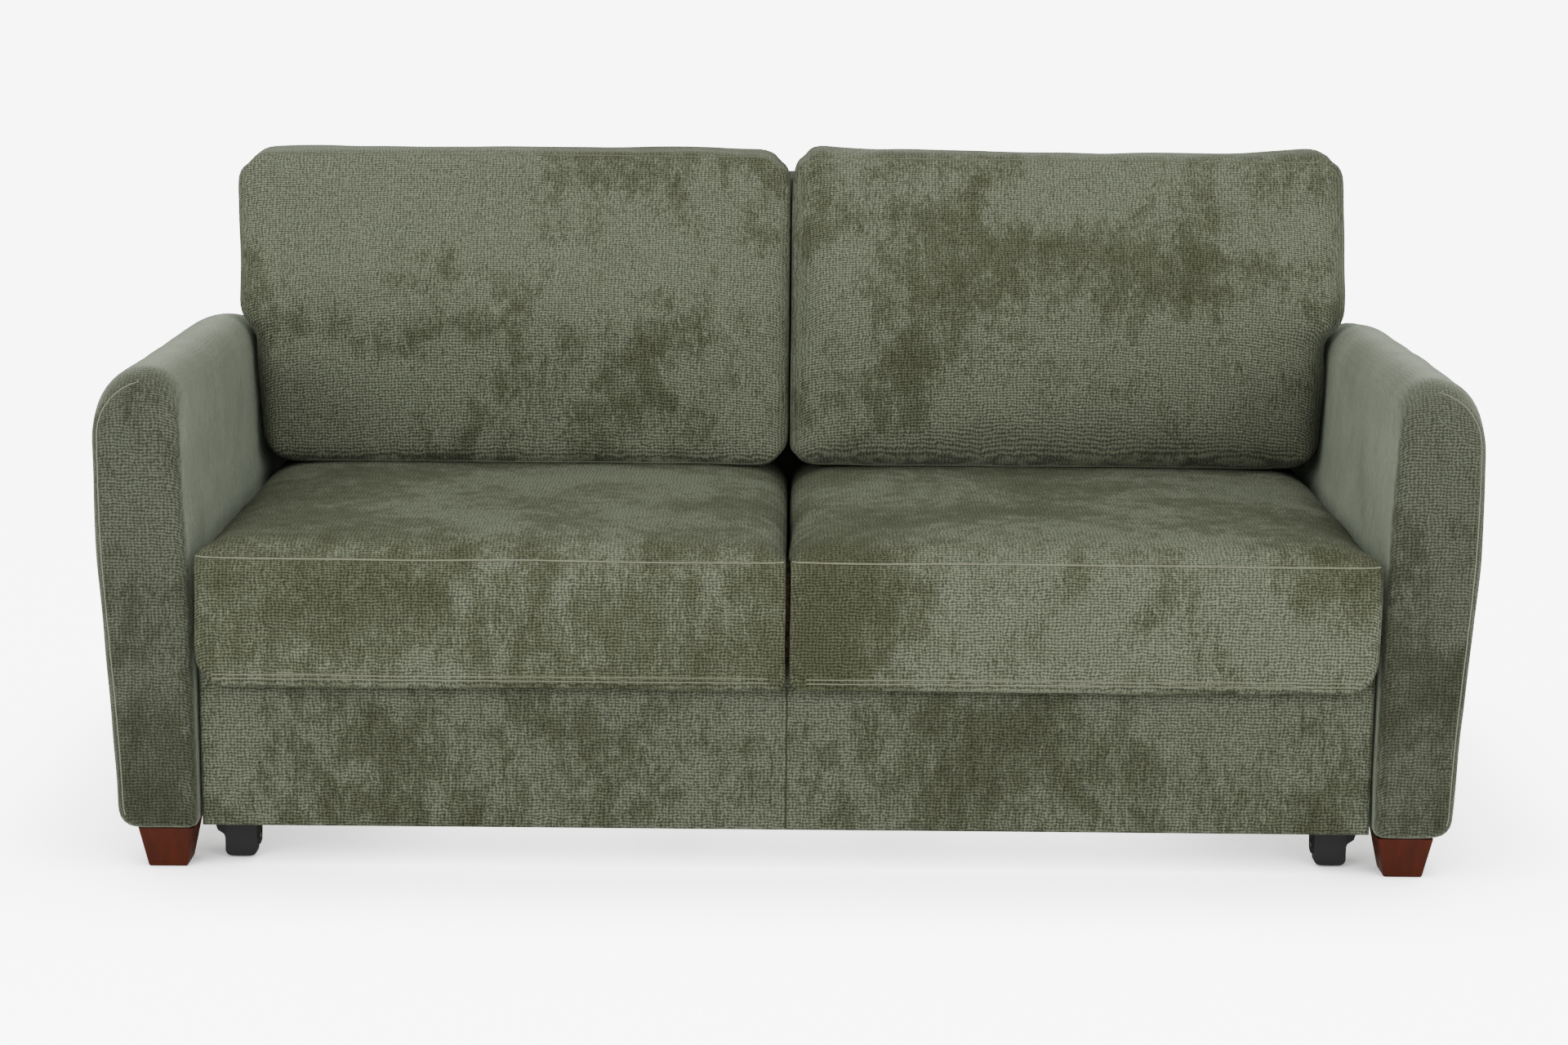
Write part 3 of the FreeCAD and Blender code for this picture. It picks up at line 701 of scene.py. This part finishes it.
# ---------------------------------------------------------------- leaf mattresses
def leaf_mattress(which):
    """Thin sprung-leaf mattress: quilted top, round lower end about its hinge."""
    sign = -1 if which == "front" else 1
    fold = math.radians(JOINTS["bed_fold"]["range_deg"][1])
    top_hinge = Vector(JOINTS["front_leaf_fold"]["pos_m"])
    half = LEAF_HIGH.x
    low, high = Vector((-half, 0.003, 0.0205)), Vector((half, 0.5545, 0.0900))
    body = puffed("mattress_" + which + "_soft", low, high, (64, 22, 6), 0.001, 0.026,
                  (0, 0, 0), LOOKS["ticking"])
    # the leaf's lower hinge, along it and over its underside, and the nose's radius about it
    hinge_at, hinge_up, nose = 0.5, 0.0355, 0.0545
    for v in body.data.vertices:
        x, a, z = v.co
        if a > hinge_at:
            reach = math.sqrt(max(0.0, nose * nose - (a - hinge_at) ** 2))
            z = min(z, hinge_up + reach)
        if z > 0.08:
            quilt = math.sin(math.pi * x / 0.22) ** 2 * math.sin(math.pi * a / 0.14) ** 2
            z -= 0.006 * (1 - quilt)
        # notched at both lower corners, where the hinge brackets pass
        if abs(x) > 0.722 and a > 0.42:
            z = max(z, 0.0605)
        y = sign * a
        turn = fold if sign < 0 else -fold
        v.co = (x, top_hinge.y + y * math.cos(turn) - z * math.sin(turn),
                top_hinge.z + y * math.sin(turn) + z * math.cos(turn))
    return body


# ---------------------------------------------------------------- build the soft pieces
def settle(obj, body, node):
    """A soft piece that takes the place of one node."""
    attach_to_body(obj, body)
    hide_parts(node)


def attach(obj, body):
    """A seam that moves with the cover it is sewn into."""
    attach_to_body(obj, body)


for seed, side in enumerate(("left", "right")):
    cushion = back_cushion(side)
    lo = Vector((-NO_LIMIT, BACK_LOW.y - 0.05, BACK_LOW.z - 0.02))
    hi = Vector((NO_LIMIT, BACK_HIGH.y, BACK_HIGH.z + 0.004))
    wrinkle(cushion, seed + 1, 0.16, 0.0045, lo, hi)
    inflate(cushion, 3.0, 0.010, lo, hi)
    close_gap(cushion, CUSHION_GAP, BACK_HIGH.x)
    finer(cushion)
    settle(cushion, "back_cushion_" + side, "back_cushion_" + side)
    attach(panel_seam(side, cushion), "back_cushion_" + side)

    seat = seat_cushion(side)
    lo = Vector((-NO_LIMIT, SEAT_LOW.y - 0.004, SEAT_LOW.z))
    hi = Vector((NO_LIMIT, SEAT_HIGH.y, SEAT_HIGH.z + 0.014))
    wrinkle(seat, seed + 5, 0.13, 0.0024, lo, hi)
    finer(seat)
    settle(seat, "seat_carriage", "seat_cushion_" + side)
    for line in lines_on_seat(side, seat):
        attach(line, "seat_carriage")

    arm = arm_cover(side)
    lo = Vector((-ARM_HIGH.x, ARM_LOW.y - 0.001, ARM_LOW.z))
    hi = Vector((ARM_HIGH.x, ARM_HIGH.y, ARM_HIGH.z))
    wrinkle(arm, seed + 9, 0.15, 0.0022, lo, hi)
    finer(arm)
    settle(arm, "base", "arm_cover_" + side)
    seam = tube("arm_" + side + "_seam", arm_seam(side, arm), CORD, SEAM)
    attach(seam, "base")

for which in ("front", "rear"):
    pad = leaf_mattress(which)
    settle(finer(pad), which + "_leaf", which + "_leaf_mattress")

middle = [(0, FASCIA_LOW.y - 0.0003, FASCIA_LOW.z + 0.004 + 0.2 * i / 20) for i in range(21)]
attach(tube("fascia_seam", middle, 0.0010, SEAM_DARK), "seat_carriage")


# ---------------------------------------------------------------- floor, light and camera
FLOOR_HALF = 300.0
FLOOR_WHITE = (0.92, 0.92, 0.92, 1)
FLOOR_GLOW = 7.0          # brightness added for the camera where nothing stands near
SHADE_REACH = 0.34        # how far round the sofa the floor darkens, the reach of the painted shadow
SHADE_DEPTH = 1.6
BACKDROP_GLOW = 9.0
CAMERA_BACK = 4.31        # in front of the arms
CAMERA_UP = 1.30
LENS = 74.4
YAW, PITCH, ROLL = 0.08, 10.56, 0.50


def floor_paint():
    """White floor that glows for the camera only, less so close to the sofa, where ambient
    occlusion cuts the glow: a painted shadow round it.
    """
    mat, tree, shader = node_material("studio_floor")
    shader.inputs["Base Color"].default_value = FLOOR_WHITE
    shader.inputs["Roughness"].default_value = 0.9
    shader.inputs["Specular IOR Level"].default_value = 0.1
    shader.inputs["Emission Color"].default_value = (1, 1, 1, 1)
    seen = tree.nodes.new("ShaderNodeLightPath").outputs["Is Camera Ray"]
    near = tree.nodes.new("ShaderNodeAmbientOcclusion")
    near.samples = 8
    near.inputs["Distance"].default_value = SHADE_REACH
    # ambient occlusion dims the camera glow near the sofa: a painted contact shadow
    open_sky = math_node(tree, "POWER", near.outputs["AO"], SHADE_DEPTH)
    glow = math_node(tree, "MULTIPLY", open_sky, FLOOR_GLOW)
    tree.links.new(math_node(tree, "MULTIPLY", seen, glow), shader.inputs["Emission Strength"])
    return mat


def studio():
    corners = [(FLOOR_HALF * x, FLOOR_HALF * y, 0) for x, y in ((-1, -1), (1, -1), (1, 1), (-1, 1))]
    add_mesh("floor", corners, [[0, 1, 2, 3]], floor_paint(), False)
    world = bpy.data.worlds.new("studio_world")
    bpy.context.scene.world = world
    world.use_nodes = True
    tree = world.node_tree
    back = tree.nodes["Background"]
    back.inputs["Color"].default_value = (1.0, 1.0, 1.0, 1)
    # the backdrop itself is bright white; what it sheds on the sofa is softer
    seen = tree.nodes.new("ShaderNodeLightPath").outputs["Is Camera Ray"]
    strength = math_node(tree, "ADD", math_node(tree, "MULTIPLY", seen, BACKDROP_GLOW), 1.0)
    tree.links.new(strength, back.inputs["Strength"])

    def panel(name, place, aim, width, height, power):
        """Soft rectangular light, turned towards aim."""
        light = bpy.data.lights.new(name, "AREA")
        light.shape = "RECTANGLE"
        light.size, light.size_y, light.energy = width, height, power
        obj = bpy.data.objects.new(name, light)
        bpy.context.collection.objects.link(obj)
        obj.location = place
        obj.rotation_euler = (Vector(aim) - Vector(place)).to_track_quat("-Z", "Y").to_euler()

    panel("overhead", (0.0, -0.6, 3.4), (0, 0, 0.4), 4.4, 2.6, 62)
    panel("key_left", (-2.6, -4.2, 2.2), (0, 0, 0.45), 2.6, 2.2, 170)
    panel("fill_right", (2.9, -4.0, 1.8), (0, 0, 0.45), 2.6, 2.0, 130)


def camera():
    cam = bpy.data.cameras.new("camera")
    cam.sensor_width = 36.0
    cam.lens = LENS
    obj = bpy.data.objects.new("camera", cam)
    bpy.context.collection.objects.link(obj)
    obj.location = (0.0, ARM_LOW.y - CAMERA_BACK, CAMERA_UP)
    yaw = Matrix.Rotation(math.radians(YAW), 4, "Z")
    pitch = Matrix.Rotation(math.radians(90 - PITCH), 4, "X")
    roll = Matrix.Rotation(math.radians(ROLL), 4, "Z")
    obj.rotation_euler = (yaw @ pitch @ roll).to_euler()
    bpy.context.scene.camera = obj


studio()
camera()
